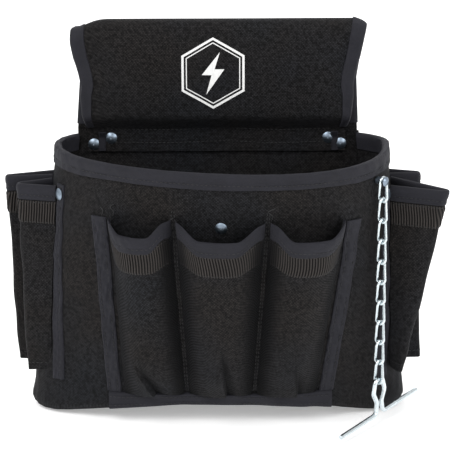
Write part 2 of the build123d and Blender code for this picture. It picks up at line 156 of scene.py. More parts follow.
def puckers(u, z):
    """How far the sewn wall stands out of its even shape, still near rivets and the rim."""
    arc = u * WALL_ARC
    amount = 0.9 * ripple(arc, z, 75, 3) + 0.35 * ripple(arc, z, 24, 5)
    amount = amount * smooth(RIM_Z - 6, RIM_Z - 45, z) * smooth(1.0, 0.9, np.abs(u))
    for spot_u, spot_z in RIVET_SPOTS:
        away = np.hypot(arc - spot_u * WALL_ARC, z - spot_z)
        amount = amount * smooth(4, 22, away)
    return amount


def wall(u, z, off=0.0):
    """Points off millimetres outside the body's leaning wall."""
    u, z, off = np.broadcast_arrays(np.asarray(u, float), np.asarray(z, float), np.asarray(off, float))
    off = off + puckers(u, z)
    share = ((RIM_Z - z) / (RIM_Z - LOW_Z))[..., None]
    flat = level_point(u, RIM_Z, off) * (1 - share) + level_point(u, LOW_Z, off) * share
    return np.concatenate([flat, z[..., None]], -1)


def u_at(x, z):
    """The u of the front half's point at x."""
    half = np.where(x < 0, between(BODY_LEFT, z), between(BODY_RIGHT, z))
    share = np.clip(np.abs(x) / half, 0, 1)
    return np.copysign(0.8 * np.degrees(np.arcsin(share ** (ROUND / 2))) / 90, x)


def bottom_at(x):
    """Height of the sagging bottom edge at x."""
    xs, zs = np.array(BOTTOM_LINE, float).T
    near = [np.interp(x + shift, xs, zs) for shift in (-8, -4, 0, 4, 8)]
    return sum(near) / len(near)


# ---- helpers for meshes ----
def make_object(name, verts, faces, uvs, material, node=None, sharp=50, painted_shade=None):
    """A piece of the sewn pouch, which stands in for the CAD node if one is named."""
    mesh = bpy.data.meshes.new(name)
    mesh.from_pydata((np.asarray(verts) * MM).tolist(), [], faces)
    layer = mesh.uv_layers.new(name="cloth")
    order = np.zeros(len(mesh.loops), int)
    mesh.loops.foreach_get("vertex_index", order)
    layer.data.foreach_set("uv", (np.asarray(uvs)[order] * MM).ravel())
    mesh.polygons.foreach_set("use_smooth", [True] * len(mesh.polygons))
    mesh.set_sharp_from_angle(angle=math.radians(sharp))
    mesh.materials.append(material)
    # Per-vertex amounts of painted shade, which the cloth materials read to darken folds and valleys.
    if painted_shade is not None:
        shade = mesh.attributes.new("painted_shade", "FLOAT", "POINT")
        shade.data.foreach_set("value", np.asarray(painted_shade, np.float32).ravel())
    mesh.validate()
    piece = bpy.data.objects.new(name, mesh)
    bpy.context.scene.collection.objects.link(piece)
    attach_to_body(piece, "pouch")
    if node:
        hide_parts(node)


def lengths_along(points, axis):
    """Running distance along one axis of a grid of points."""
    run = np.linalg.norm(np.diff(points, axis=axis), axis=-1)
    pad = [(0, 0), (0, 0)]
    pad[axis] = (1, 0)
    return np.pad(np.cumsum(run, axis=axis), pad)


def grid_faces(rows, cols, start=0, flip=False):
    """The faces of a grid whose first vertex is number start."""
    faces = []
    for r in range(rows - 1):
        for c in range(cols - 1):
            a = start + r * cols + c
            quad = (a, a + cols, a + cols + 1, a + 1)
            faces.append(quad[::-1] if flip else quad)
    return faces


def border(rows, cols):
    """Vertex numbers round a grid, in order."""
    top = [c for c in range(cols)]
    right = [r * cols + cols - 1 for r in range(1, rows)]
    bottom = [(rows - 1) * cols + c for c in range(cols - 2, -1, -1)]
    left = [r * cols for r in range(rows - 2, 0, -1)]
    return top + right + bottom + left


def cloth_shell(name, outer, inner, material, node=None, across=None, painted_shade=None):
    """A closed piece of cloth between two grids of points; across may give its own width coordinate."""
    rows, cols = outer.shape[:2]
    size = rows * cols
    verts = np.concatenate([outer.reshape(-1, 3), inner.reshape(-1, 3)])
    width = lengths_along(outer, 1) if across is None else across
    uv = np.stack([width, lengths_along(outer, 0)], -1).reshape(-1, 2)
    faces = grid_faces(rows, cols) + grid_faces(rows, cols, size, True)
    if painted_shade is not None:
        painted_shade = np.concatenate([painted_shade.ravel()] * 2)
    ring = border(rows, cols)
    for a, b in zip(ring, ring[1:] + ring[:1]):
        faces.append((a, b, b + size, a + size))
    make_object(name, verts, faces, np.concatenate([uv, uv]), material, node, painted_shade=painted_shade)


def swept(name, rings, material, node):
    """A closed strip: rings[k] is the closed cross-section at step k, and both ends are capped."""
    steps, sides = rings.shape[:2]
    verts = rings.reshape(-1, 3)
    along = lengths_along(rings, 0)[:, :1] * np.ones((1, sides))
    around = lengths_along(rings, 1)
    uv = np.stack([along, around], -1).reshape(-1, 2)
    faces = []
    for k in range(steps - 1):
        for s in range(sides):
            t = (s + 1) % sides
            faces.append((k * sides + s, k * sides + t, (k + 1) * sides + t, (k + 1) * sides + s))
    faces.append(tuple(range(sides))[::-1])
    faces.append(tuple((steps - 1) * sides + s for s in range(sides)))
    make_object(name, verts, faces, uv, material, node)


# ---- materials ----
class Nodes:
    """A short way to write a material's node tree."""

    def __init__(self, name):
        self.material = bpy.data.materials.new(name)
        self.material.use_nodes = True
        self.tree = self.material.node_tree
        self.shader = self.tree.nodes["Principled BSDF"]

    def add(self, kind, inputs=(), **settings):
        node = self.tree.nodes.new(kind)
        for key, value in settings.items():
            setattr(node, key, value)
        for key, value in dict(inputs).items():
            if isinstance(value, bpy.types.NodeSocket):
                self.tree.links.new(value, node.inputs[key])
            else:
                node.inputs[key].default_value = value
        return node

    def math(self, operation, a, b=0.0, clamp=False):
        return self.add("ShaderNodeMath", {0: a, 1: b}, operation=operation, use_clamp=clamp).outputs[0]

    def mix(self, share, a, b):
        node = self.add("ShaderNodeMix", data_type="RGBA")
        for key, value in ((0, share), (6, a), (7, b)):
            if isinstance(value, bpy.types.NodeSocket):
                self.tree.links.new(value, node.inputs[key])
            else:
                node.inputs[key].default_value = value
        return node.outputs[2]

    def noise(self, vector, scale, detail=2.0):
        wanted = {"Vector": vector, "Scale": scale, "Detail": detail}
        return self.add("ShaderNodeTexNoise", wanted).outputs["Fac"]

    def with_painted_shade(self, colour, depth):
        """Paints shade into a colour: darkens it towards near-black in the folds and valleys that a piece's
        per-vertex shade values mark.
        """
        painted_shade = self.add("ShaderNodeAttribute", attribute_name="painted_shade").outputs["Fac"]
        share = self.math("MULTIPLY", painted_shade, depth, clamp=True)
        return self.mix(share, colour, (0.0006, 0.0006, 0.0007, 1))

    def link(self, output, socket):
        self.tree.links.new(output, self.shader.inputs[socket])

    def set(self, **values):
        for key, value in values.items():
            self.shader.inputs[key.replace("_", " ")].default_value = value

    def bump(self, height, distance, strength=1.0):
        wanted = {"Height": height, "Distance": distance, "Strength": strength}
        self.link(self.add("ShaderNodeBump", wanted).outputs[0], "Normal")


def grey(value):
    return (value, value, value, 1.0)


def cloth_sheen(kit, weight):
    """The dull surface that all the cloth shares."""
    kit.shader.inputs["Sheen Weight"].default_value = weight
    kit.shader.inputs["Sheen Roughness"].default_value = 0.45
    kit.shader.inputs["Sheen Tint"].default_value = (0.62, 0.62, 0.70, 1.0)
    kit.shader.inputs["Specular IOR Level"].default_value = 0.14


def woven(name, dark, light, thread=1.25, sheen=0.03):
    """Coarse plain weave: threads pass over and under each other, each a rounded rib; its colour carries
    painted highlight on the thread crowns, painted shade between them, and the threads on top painted
    brighter than those under.
    """
    kit = Nodes(name)
    uv = kit.add("ShaderNodeUVMap", uv_map="cloth").outputs[0]
    split = kit.add("ShaderNodeSeparateXYZ", {0: uv})
    across = kit.math("MULTIPLY", split.outputs[0], 1 / (thread * MM))
    down = kit.math("MULTIPLY", split.outputs[1], 1 / (thread * MM))
    cell = kit.math("ADD", kit.math("FLOOR", across), kit.math("FLOOR", down))
    over = kit.math("MULTIPLY", kit.math("FRACT", kit.math("MULTIPLY", cell, 0.5)), 2.0)
    rib_a = kit.math("ABSOLUTE", kit.math("SINE", kit.math("MULTIPLY", across, math.pi)))
    rib_b = kit.math("ABSOLUTE", kit.math("SINE", kit.math("MULTIPLY", down, math.pi)))
    height = kit.add("ShaderNodeMix", {0: over, 2: rib_a, 3: rib_b}, data_type="FLOAT").outputs[0]
    place = kit.add("ShaderNodeTexCoord").outputs["Object"]
    patches = kit.noise(place, 14.0, 2.0)
    fibre = kit.noise(place, 900.0, 2.0)
    slub = kit.noise(place, 420.0, 3.0)
    tint = kit.add("ShaderNodeValToRGB", {0: patches})
    tint.color_ramp.elements[0].position, tint.color_ramp.elements[1].position = 0.35, 0.68
    tint.color_ramp.elements[0].color = (1.12, 0.98, 0.92, 1)
    tint.color_ramp.elements[1].color = (0.90, 0.97, 1.16, 1)
    # Painted light: the colour follows each thread's height, with painted highlight on the crowns, painted
    # shade in the gaps and brighter threads on top; fibre and worn only add random tone.
    lit = kit.math("MULTIPLY", height, kit.math("ADD", kit.math("MULTIPLY", over, 0.45), 0.55))
    lit = kit.math("MULTIPLY", lit, kit.math("ADD", kit.math("MULTIPLY", fibre, 0.7), 0.65))
    worn = kit.math("MULTIPLY", kit.math("SUBTRACT", slub, 0.36), 3.4, clamp=True)
    lit = kit.math("MULTIPLY", lit, kit.math("ADD", kit.math("MULTIPLY", worn, 1.15), 0.15), clamp=True)
    thread_colour = kit.mix(lit, grey(dark), grey(light))
    tinted = kit.add("ShaderNodeMix", data_type="RGBA", blend_type="MULTIPLY")
    tinted.inputs[0].default_value = 1.0
    kit.tree.links.new(thread_colour, tinted.inputs[6])
    kit.tree.links.new(tint.outputs[0], tinted.inputs[7])
    # Painted shade towards the folds and valleys that the piece's shade values mark.
    kit.link(kit.with_painted_shade(tinted.outputs[2], 0.95), "Base Color")
    kit.link(kit.math("ADD", kit.math("MULTIPLY", fibre, 0.18), 0.68), "Roughness")
    cloth_sheen(kit, sheen)
    kit.bump(kit.math("ADD", height, kit.math("MULTIPLY", fibre, 0.3)), 0.00035, 0.8)
    return kit.material


def tape(name, colour, rib=0.55, sheen=0.05, ribbed=False):
    """Fine ribbed binding tape, with soft puckers across it and rubbed, paler high places; ribbed tape has
    painted shade in the grooves between its ribs.
    """
    kit = Nodes(name)
    uv = kit.add("ShaderNodeUVMap", uv_map="cloth").outputs[0]
    split = kit.add("ShaderNodeSeparateXYZ", {0: uv})
    run = kit.math("MULTIPLY", split.outputs[0], 2 * math.pi / (rib * MM))
    rib_height = kit.math("COSINE", run)
    place = kit.add("ShaderNodeTexCoord").outputs["Object"]
    soft = kit.noise(place, 60.0, 3.0)
    fine = kit.noise(place, 700.0, 2.0)
    rubbed = kit.math("ADD", kit.math("MULTIPLY", soft, 0.7), kit.math("MULTIPLY", fine, 0.5), clamp=True)
    pale = tuple(c * 1.7 for c in colour[:3]) + (1.0,)
    deep = tuple(c * 0.62 for c in colour[:3]) + (1.0,)
    colours = kit.mix(rubbed, deep, pale)
    # Painted shade: the grooves between the ribs fall to about an eighth of the tape's colour.
    if ribbed:
        crest = kit.math("MULTIPLY", kit.math("SUBTRACT", 0.35, rib_height), 0.95, clamp=True)
        colours = kit.mix(crest, tuple(c * 0.12 for c in colour[:3]) + (1.0,), colours)
    # Painted shade towards the folds and valleys that the piece's shade values mark.
    kit.link(kit.with_painted_shade(colours, 0.8), "Base Color")
    kit.link(kit.math("ADD", kit.math("MULTIPLY", soft, 0.2), 0.56), "Roughness")
    cloth_sheen(kit, sheen)
    height = kit.math("ADD", kit.math("MULTIPLY", rib_height, 0.12), kit.math("ADD", soft, kit.math(
        "MULTIPLY", fine, 0.25)))
    kit.bump(height, 0.0006, 0.7)
    return kit.material


def plated(name, colour, roughness, mottle):
    """Zinc plate: bright metal with faint crystal patches, fine scratches and dull spots."""
    kit = Nodes(name)
    place = kit.add("ShaderNodeTexCoord").outputs["Object"]
    cells = kit.add("ShaderNodeTexVoronoi", {"Vector": place, "Scale": 420.0}).outputs["Color"]
    cell = kit.add("ShaderNodeSeparateXYZ", {0: cells}).outputs[0]
    dull = kit.noise(place, 240.0, 4.0)
    dark = tuple(c * (1 - mottle) for c in colour) + (1.0,)
    kit.link(kit.mix(kit.math("ADD", kit.math("MULTIPLY", cell, 0.5), kit.math(
        "MULTIPLY", dull, 0.6), clamp=True), dark, colour + (1.0,)), "Base Color")
    kit.link(kit.math("ADD", kit.math("MULTIPLY", dull, 0.22), roughness - 0.08), "Roughness")
    kit.set(Metallic=1.0)
    kit.bump(kit.noise(place, 1500.0, 3.0), 0.00012, 0.35)
    return kit.material


def plain(name, colour, roughness):
    """Thread or print: one colour with slight mottling."""
    kit = Nodes(name)
    place = kit.add("ShaderNodeTexCoord").outputs["Object"]
    speck = kit.noise(place, 500.0, 3.0)
    low = tuple(c * 0.8 for c in colour) + (1.0,)
    kit.link(kit.mix(speck, low, colour + (1.0,)), "Base Color")
    kit.link(kit.math("ADD", kit.math("MULTIPLY", speck, 0.2), roughness), "Roughness")
    kit.bump(speck, 0.0001, 0.4)
    return kit.material


NYLON = woven("nylon_weave", 0.0010, 0.021)
BINDING_TAPE = tape("binding_tape", (0.0125, 0.0125, 0.0160, 1.0))
RIBBED = tape("ribbed_elastic", (0.027, 0.0235, 0.0215, 1.0), rib=RIB_PITCH, sheen=0.04, ribbed=True)
THREAD = plain("black_thread", (0.007, 0.007, 0.008), 0.5)
PRINT = plain("white_print", (0.80, 0.80, 0.79), 0.6)
RIVET_ZINC = plated("rivet_zinc", (0.27, 0.33, 0.40), 0.36, 0.35)
CHAIN_ZINC = plated("chain_zinc", (0.72, 0.79, 0.82), 0.22, 0.22)


# ---- stitches: short raised lozenges of thread along a line on the cloth ----
class Stitches:
    """Collects the stitches of one area and makes them one piece."""

    def __init__(self, name, length=2.6, gap=0.9, half=0.34):
        self.name, self.length, self.gap, self.half = name, length, gap, half
        self.verts, self.faces = [], []

    def line(self, points, out):
        """A row of stitches along points, raised towards out."""
        points, out = np.asarray(points, float), np.asarray(out, float)
        run = np.concatenate([[0], np.cumsum(np.linalg.norm(np.diff(points, axis=0), axis=1))])
        pitch = self.length + self.gap
        for k in range(int(run[-1] // pitch)):
            start = k * pitch + self.gap / 2
            a, m, b = [self.at(run, points, start + self.length * s) for s in (0.0, 0.5, 1.0)]
            up = self.at(run, out, start + self.length / 2)
            self.stitch(a, m, b, up / np.linalg.norm(up))

    @staticmethod
    def at(run, values, where):
        return np.array([np.interp(where, run, values[:, i]) for i in range(3)])

    def stitch(self, a, m, b, up):
        ahead = (b - a) / np.linalg.norm(b - a)
        side = np.cross(up, ahead) * self.half
        lift = up * self.half
        first = len(self.verts)
        self.verts.append(a - lift * 0.5)
        for middle, share in ((a * 0.72 + b * 0.28, 0.9), (a * 0.28 + b * 0.72, 0.9)):
            bow = (m - (a + b) / 2) * 0.8
            for turn in range(6):
                angle = turn * math.pi / 3
                self.verts.append(middle + bow + (side * math.cos(angle) + lift * math.sin(angle)) * share)
        self.verts.append(b - lift * 0.5)
        for turn in range(6):
            after = (turn + 1) % 6
            self.faces.append((first, first + 1 + after, first + 1 + turn))
            self.faces.append((first + 1 + turn, first + 1 + after, first + 7 + after, first + 7 + turn))
            self.faces.append((first + 13, first + 7 + turn, first + 7 + after))

    def tail(self, points, radius=0.28):
        """A loose end of thread, a thin tube through points."""
        points = np.asarray(points, float)
        fine = np.linspace(0, len(points) - 1, 6 * len(points))
        path = np.stack([np.interp(fine, range(len(points)), points[:, i]) for i in range(3)], -1)
        for _ in range(3):
            path[1:-1] = (path[:-2] + path[1:-1] * 2 + path[2:]) / 4
        first, sides = len(self.verts), 5
        for k, p in enumerate(path):
            ahead = path[min(k + 1, len(path) - 1)] - path[max(k - 1, 0)]
            ahead = ahead / np.linalg.norm(ahead)
            side = np.cross(ahead, (0.3, 0.9, 0.2))
            side = side / np.linalg.norm(side)
            other = np.cross(ahead, side)
            for s in range(sides):
                angle = 2 * math.pi * s / sides
                self.verts.append(p + (side * math.cos(angle) + other * math.sin(angle)) * radius)
        for k in range(len(path) - 1):
            for s in range(sides):
                t = (s + 1) % sides
                a, b = first + k * sides, first + (k + 1) * sides
                self.faces.append((a + s, a + t, b + t, b + s))
        self.faces.append(tuple(first + s for s in range(sides))[::-1])
        self.faces.append(tuple(first + (len(path) - 1) * sides + s for s in range(sides)))

    def make(self):
        uv = np.array(self.verts)[:, :2]
        make_object(self.name, self.verts, self.faces, uv, THREAD, sharp=80)


# ---- main body ----
def body_bottom(u):
    """Height of the body's lower edge at u."""
    return bottom_at(body_curve(u, LOW_Z)[..., 0])


def body_wall():
    """The big front and side wall, its lower edge tucked in."""
    u = np.linspace(-1.0, 1.0, 241)
    share = np.linspace(0, 1, 90)[:, None]
    top = RIM_Z - 1.6
    z = top + (body_bottom(u)[None, :] - top) * share
    grid_u = np.broadcast_to(u, z.shape)
    tuck = 2.6 * smooth(0.965, 1.0, share) ** 2 * np.ones_like(z)
    outer = wall(grid_u, z, -tuck)
    inner = wall(grid_u, z, -CLOTH - tuck * 0.6)
    front_limit = BACK_FRONT - GAP
    outer[..., 1] = np.minimum(outer[..., 1], front_limit)
    inner[..., 1] = np.minimum(inner[..., 1], front_limit)
    cloth_shell("main_body_cloth", outer, inner, NYLON, "main_body")


def bottom_cloth():
    """The bottom panel, sewn to the wall's lower edge and to the back panel."""
    u = np.linspace(-0.8, 0.8, 121)
    z = body_bottom(u)
    front = wall(u, z + 1.2, -CLOTH - 0.4)
    share = np.linspace(0, 1, 24)[:, None]
    back_y = np.full_like(z, BACK_FRONT - GAP)
    half = np.where(u < 0, BODY_LEFT[1], BODY_RIGHT[1])
    attach = np.where(u < 0, ATTACH_LEFT[1], ATTACH_RIGHT[1]) - CLOTH
    x = front[:, 0][None, :] * np.sqrt(1 - share ** 2 * (1 - (attach / half) ** 2)[None, :])
    y = front[:, 1][None, :] * (1 - share) + back_y[None, :] * share
    sag = 1.2 * np.sin(math.pi * share) * ripple(x, y, 60, 11)
    low = np.maximum(z[None, :] + 0.4 + sag * 0.4, bottom_at(x))
    outer = np.stack([x, y, low], -1)
    inner = outer + np.array([0, 0, CLOTH])
    cloth_shell("bottom_cloth", inner, outer, NYLON, "bottom_panel")


def folded_section(height, inside, outside, puff=0.35):
    """A folded tape's closed cross-section as (off, drop) pairs, off outwards and drop down from its top."""
    mid = (inside + outside) / 2
    wall_thick = TAPE * 0.9
    stitch = height * 0.70
    outer = [(outside - 0.1, height), (outside + 0.15, height * 0.86), (outside - 0.35, stitch),
             (outside + puff, height * 0.5), (outside + puff * 1.2, height * 0.25), (outside, 1.1),
             ((outside + mid) / 2, 0.15), (mid, -0.25), ((inside + mid) / 2, 0.15), (inside, 1.1),
             (inside - puff, height * 0.3), (inside + 0.25, stitch), (inside, height)]
    hollow = [(inside + wall_thick, height), (inside + wall_thick, 3.0), (mid, 1.6),
              (outside - wall_thick, 3.0), (outside - wall_thick, height)]
    return np.array(outer + hollow)


def rim_tape():
    """Tape folded over the rim, with its row of stitches."""
    u = np.linspace(-1.0, 1.0, 420)
    section = folded_section(BINDING, -CLOTH - GAP - TAPE, GAP + TAPE)
    off, drop = section[:, 0][None, :], section[:, 1][None, :]
    arc = (u * 330.0)[:, None]
    lively = 0.22 * ripple(arc, drop * 3, 13, 21) + 0.18 * ripple(arc, drop, 40, 22)
    wave = 0.5 * ripple(arc, drop * 0, 90, 23)
    outward = np.where(off > 0, lively, -lively * 0.6)
    rings = wall(u[:, None], RIM_Z - drop - 0.3 + wave * smooth(0, 6, drop), off + outward)
    rings[..., 1] = np.minimum(rings[..., 1], BACK_FRONT - GAP)
    swept("rim_binding_tape", rings, BINDING_TAPE, "rim_binding")
    seams = Stitches("rim_stitches")
    line_z = RIM_Z - BINDING * 0.70 - 0.3
    fine = np.linspace(-0.985, 0.985, 700)
    sew_on_wall(seams, fine, line_z, GAP + TAPE - 0.1)
    seams.make()


# ---- front pockets ----
# The upper and lower end, as (x, z), of each pocket's tucked fold.
PLEATS = (
    ((-69.0, -204.0), (-53.0, -242.0)),
    ((-2.0, -184.0), (3.5, -243.0)),
    ((57.0, -206.0), (59.5, -243.0)),
)
PLACES = ("left", "centre", "right")


def bulge_at(z):
    """How far a pocket's middle stands out from the wall, softened between its given heights."""
    zs = [-p[0] for p in POCKET_BULGE]
    sizes = [p[1] for p in POCKET_BULGE]
    near = [np.interp(-(z + shift), zs, sizes) for shift in (-10, -5, 0, 5, 10)]
    return sum(near) / len(near)


def pocket_span(index, z):
    """Where a pocket's two side seams are."""
    left = between(POCKET_EDGES[index], z) + SEAM_ROOM
    right = between(POCKET_EDGES[index + 1], z) - SEAM_ROOM
    return left, right


def pleat_push(index, x, z):
    """How far a pocket's tucked fold stands out on one side of its line and in on the other."""
    (x_high, z_high), (x_low, z_low) = PLEATS[index]
    share = np.clip((z_high - z) / (z_high - z_low), 0, 1)
    line = x_high + (x_low - x_high) * share
    away = x - line
    depth = 5.5 * smooth(0, 0.9, share)
    proud = np.exp(-(np.minimum(away, 0) / 13.0) ** 2) * (1 - smooth(-1.0, 1.0, away))
    tucked = np.exp(-(np.maximum(away, 0) / 9.0) ** 2) * smooth(-1.0, 1.0, away)
    return depth * (0.55 * proud - tucked)


def pleat_shade(index, x, z):
    """How deep in the shade of its tucked fold a pocket's cloth is."""
    (x_high, z_high), (x_low, z_low) = PLEATS[index]
    share = np.clip((z_high - z) / (z_high - z_low), 0, 1)
    away = x - (x_high + (x_low - x_high) * share)
    return 0.9 * smooth(0, 0.35, share) * smooth(-1.5, 1.0, away) * smooth(3 + 9 * share, 0.5, away)


def pocket_point(index, t, z, off):
    """Points on a pocket's bulging face: t is 0 at its left seam and 1 at its right."""
    left, right = pocket_span(index, z)
    turn = math.pi * t
    x = (left + right) / 2 - (right - left) / 2 * np.cos(turn)
    rise = np.clip(np.sin(turn), 0, 1) ** (1.25 + 0.75 * smooth(-98, -130, z))
    bulge = bulge_at(z) + pleat_push(index, x, z) + 0.8 * ripple(x + 70 * index, z, 46, 31 + index)
    stand = GAP + 1.3 * (1 - rise) + bulge * rise + off * np.maximum(rise, 0.35)
    return wall(u_at(x, z), z, np.maximum(stand, GAP))


def sew_on_pocket(index, t, z, lift):
    """A row of stitches across a pocket's face."""
    outward = pocket_point(index, t, z, 3 + 0 * t) - pocket_point(index, t, z, 1 + 0 * t)
    pocket_seams.line(pocket_point(index, t, z, lift + 0 * t), outward)


def sew_on_wall(seams, u, z, lift):
    """A row of stitches on the wall."""
    seams.line(wall(u, z, lift), wall(u, z, lift + 2) - wall(u, z, lift))


def scoop_at(index, t):
    """Height of a pocket's scooped upper edge."""
    ends = (POCKET_TOP - (4 if index == 0 else 0), POCKET_TOP - (2 if index == 2 else 0))
    across = -np.cos(math.pi * t)
    end = np.where(across < 0, ends[0], ends[1])
    low = POCKET_TOP - POCKET_SCOOP
    return low + (end + 3.0 - low) * smooth(0.40, 0.90, np.abs(across))


def pocket_cloth(index):
    """One front pocket: its cloth, folded binding and ribbed band."""
    place = PLACES[index]
    t = np.linspace(0.0, 1.0, 101)[None, :]
    share = np.linspace(0, 1, 110)[:, None]
    top = scoop_at(index, t) - 2.0
    z = top + (POCKET_LOW - top) * share
    outer = pocket_point(index, t, z, 0.0 * z)
    inner = pocket_point(index, t, z, -CLOTH + 0.0 * z)
    # Painted shade: darker towards the valleys between the pockets lower down, and in the shade of each
    # tucked fold.
    painted_shade = smooth(0.78, 0.28, np.sin(math.pi * t) ** 2) * smooth(-96, -122, z)
    painted_shade = np.maximum(painted_shade, pleat_shade(index, outer[..., 0], z))
    cloth_shell(f"front_pocket_{place}_cloth", outer, inner, NYLON, f"front_pocket_{place}", painted_shade=painted_shade)

    t = np.linspace(0.004, 0.996, 190)[:, None]
    section = folded_section(BINDING, -CLOTH - 0.9, 0.9, 0.5)
    off, drop = section[:, 0][None, :], section[:, 1][None, :]
    arc = t * 90.0 + 100 * index
    lively = 0.25 * ripple(arc, drop * 3, 12, 41 + index)
    rings = pocket_point(index, t, scoop_at(index, t) - drop, off + np.where(off > -1, lively, -lively))
    node = f"front_pocket_{place}_binding"
    swept(f"{node}_tape", rings, BINDING_TAPE, node)
    t = np.linspace(0.03, 0.97, 220)
    z = scoop_at(index, t) - BINDING * 0.70
    sew_on_pocket(index, t, z, 0.75)

    columns = 361
    t = np.linspace(0.10, 0.90, columns)[None, :]
    share = np.linspace(0, 1, 26)[:, None]
    dip = scoop_at(index, t) - (POCKET_TOP - POCKET_SCOOP)
    band_top = POCKET_TOP - POCKET_SCOOP + dip * 0.8 - BINDING + 1.0
    band_low = band_top - BAND - 1.0 - dip * 0.35
    z = band_top + (band_low - band_top) * share
    across = lengths_along(pocket_point(index, t, z, 0 * z), 1)
    ribs = np.abs(np.sin(math.pi * across / RIB_PITCH)) ** 0.7
    fade = smooth(0, 0.12, share) * smooth(1.0, 0.86, share)
    edge = smooth(0.0, 0.03, t - 0.10) * smooth(0.0, 0.03, 0.90 - t)
    lift = 0.35 + (0.15 + 1.0 * ribs) * fade * edge
    outer = pocket_point(index, t, z, lift)
    inner = pocket_point(index, t, z, 0.05 + 0 * lift)
    # Painted shade on the band towards the valleys between the pockets.
    painted_shade = smooth(0.62, 0.24, np.sin(math.pi * t) ** 2) * np.ones_like(z)
    node = f"front_pocket_{place}_band"
    cloth_shell(f"{node}_cloth", outer, inner, RIBBED, node, across, painted_shade)
    for level in (0.06, 0.94):
        sew_on_pocket(index, t[0], (band_top + (band_low - band_top) * level)[0], 0.8)


def strip_on_wall(node, inner_u, outer_u, z, lift, seed, rows_of_stitches=(0.22, 0.78)):
    """A flat tape on the wall between two lines of u, with rows of stitches along it."""
    share = np.linspace(0, 1, 13)[None, :]
    u = inner_u[:, None] * (1 - share) + outer_u[:, None] * share
    height = np.broadcast_to(z[:, None], u.shape)
    arc = u * WALL_ARC
    pucker = 0.35 * ripple(arc * 2.0, height, 9, 51 + seed) + 0.3 * ripple(arc, height, 30, 52 + seed)
    round_edge = np.sqrt(np.clip(1 - (2 * share - 1) ** 6, 0, 1))
    groove = sum(-0.45 * np.exp(-((share - s) / 0.06) ** 2) for s in rows_of_stitches)
    top = lift * (0.45 + 0.55 * round_edge) + (pucker + groove) * round_edge
    outer = wall(u, height, GAP + np.maximum(top, 0.5))
    inner = wall(u, height, 0.1 + 0 * u)
    if inner_u[0] > outer_u[0]:
        outer, inner = outer[:, ::-1], inner[:, ::-1]
    cloth_shell(f"{node}_tape", outer, inner, BINDING_TAPE, node)
    for s in rows_of_stitches:
        sew_on_wall(pocket_seams, inner_u * (1 - s) + outer_u * s, z, GAP + lift - 0.3)


def panel_sides():
    """Tapes down the two sides of the pocket panel."""
    z = np.linspace(-92.5, POCKET_LOW + 0.5, 130)
    for node, index, side in (("panel_binding_left", 0, -1), ("panel_binding_right", 3, 1)):
        inner = between(POCKET_EDGES[index], z) + side * 1.0
        outer = inner + side * (SIDE_TAPE + 0.5)
        strip_on_wall(node, u_at(inner, z), u_at(outer, z), z, 1.7, index)


def panel_hem():
    """The hem along the pocket panel's lower edge, over the tucked pleats."""
    t = np.linspace(0, 1, 260)[:, None]
    left = between(POCKET_EDGES[0], POCKET_LOW) - SIDE_TAPE
    right = between(POCKET_EDGES[3], POCKET_LOW) + SIDE_TAPE
    x = left + (right - left) * t
    share = np.linspace(0, 1, 13)[None, :]
    top = POCKET_LOW + 0.6 + 0.5 * ripple(x, 0 * x, 40, 61)
    low = bottom_at(x) + 0.7
    z = top + (low - top) * share
    near = sum(np.exp(-((x - line[1][0]) / 9.0) ** 2) for line in PLEATS)
    lift = 3.0 + 0.7 * near + 0.35 * ripple(x, z, 16, 62)
    round_edge = np.sqrt(np.clip(1 - (2 * share - 1) ** 8, 0, 1))
    outer = wall(u_at(x, z), z, GAP + lift * (0.4 + 0.6 * round_edge))
    inner = wall(u_at(x, z), z, 0.1 + 0 * z)
    outer, inner = outer.transpose(1, 0, 2), inner.transpose(1, 0, 2)
    cloth_shell("panel_hem_tape", outer, inner, BINDING_TAPE, "panel_binding_bottom")
    for level in (0.25, 0.75):
        z_line = (top + (low - top) * level)[:, 0]
        sew_on_wall(pocket_seams, u_at(x[:, 0], z_line), z_line, GAP + 3.4)


def divider_seams():
    """Double rows of stitches down the valleys between the pockets, with loose thread ends on top."""
    z = np.linspace(-80, POCKET_LOW, 200)
    for index in (1, 2):
        for shift in (-1.0, 1.0):
            u = u_at(between(POCKET_EDGES[index], z) + shift, z)
            sew_on_wall(pocket_seams, u, z, 0.15)
    for x, z_top, lean in ((-92.0, -84.0, -1), (-84.0, -80.0, 2), (-38.0, -86.0, 2), (38.0, -76.0, 3)):
        heights = z_top - np.array([0, 3, 7, 11])
        shift = np.array([lean, -lean, lean * 0.6, 0])
        u = u_at(x + shift, heights)
        pocket_seams.tail(wall(u, heights, np.array([1.6, 1.0, 0.8, 0.4])))


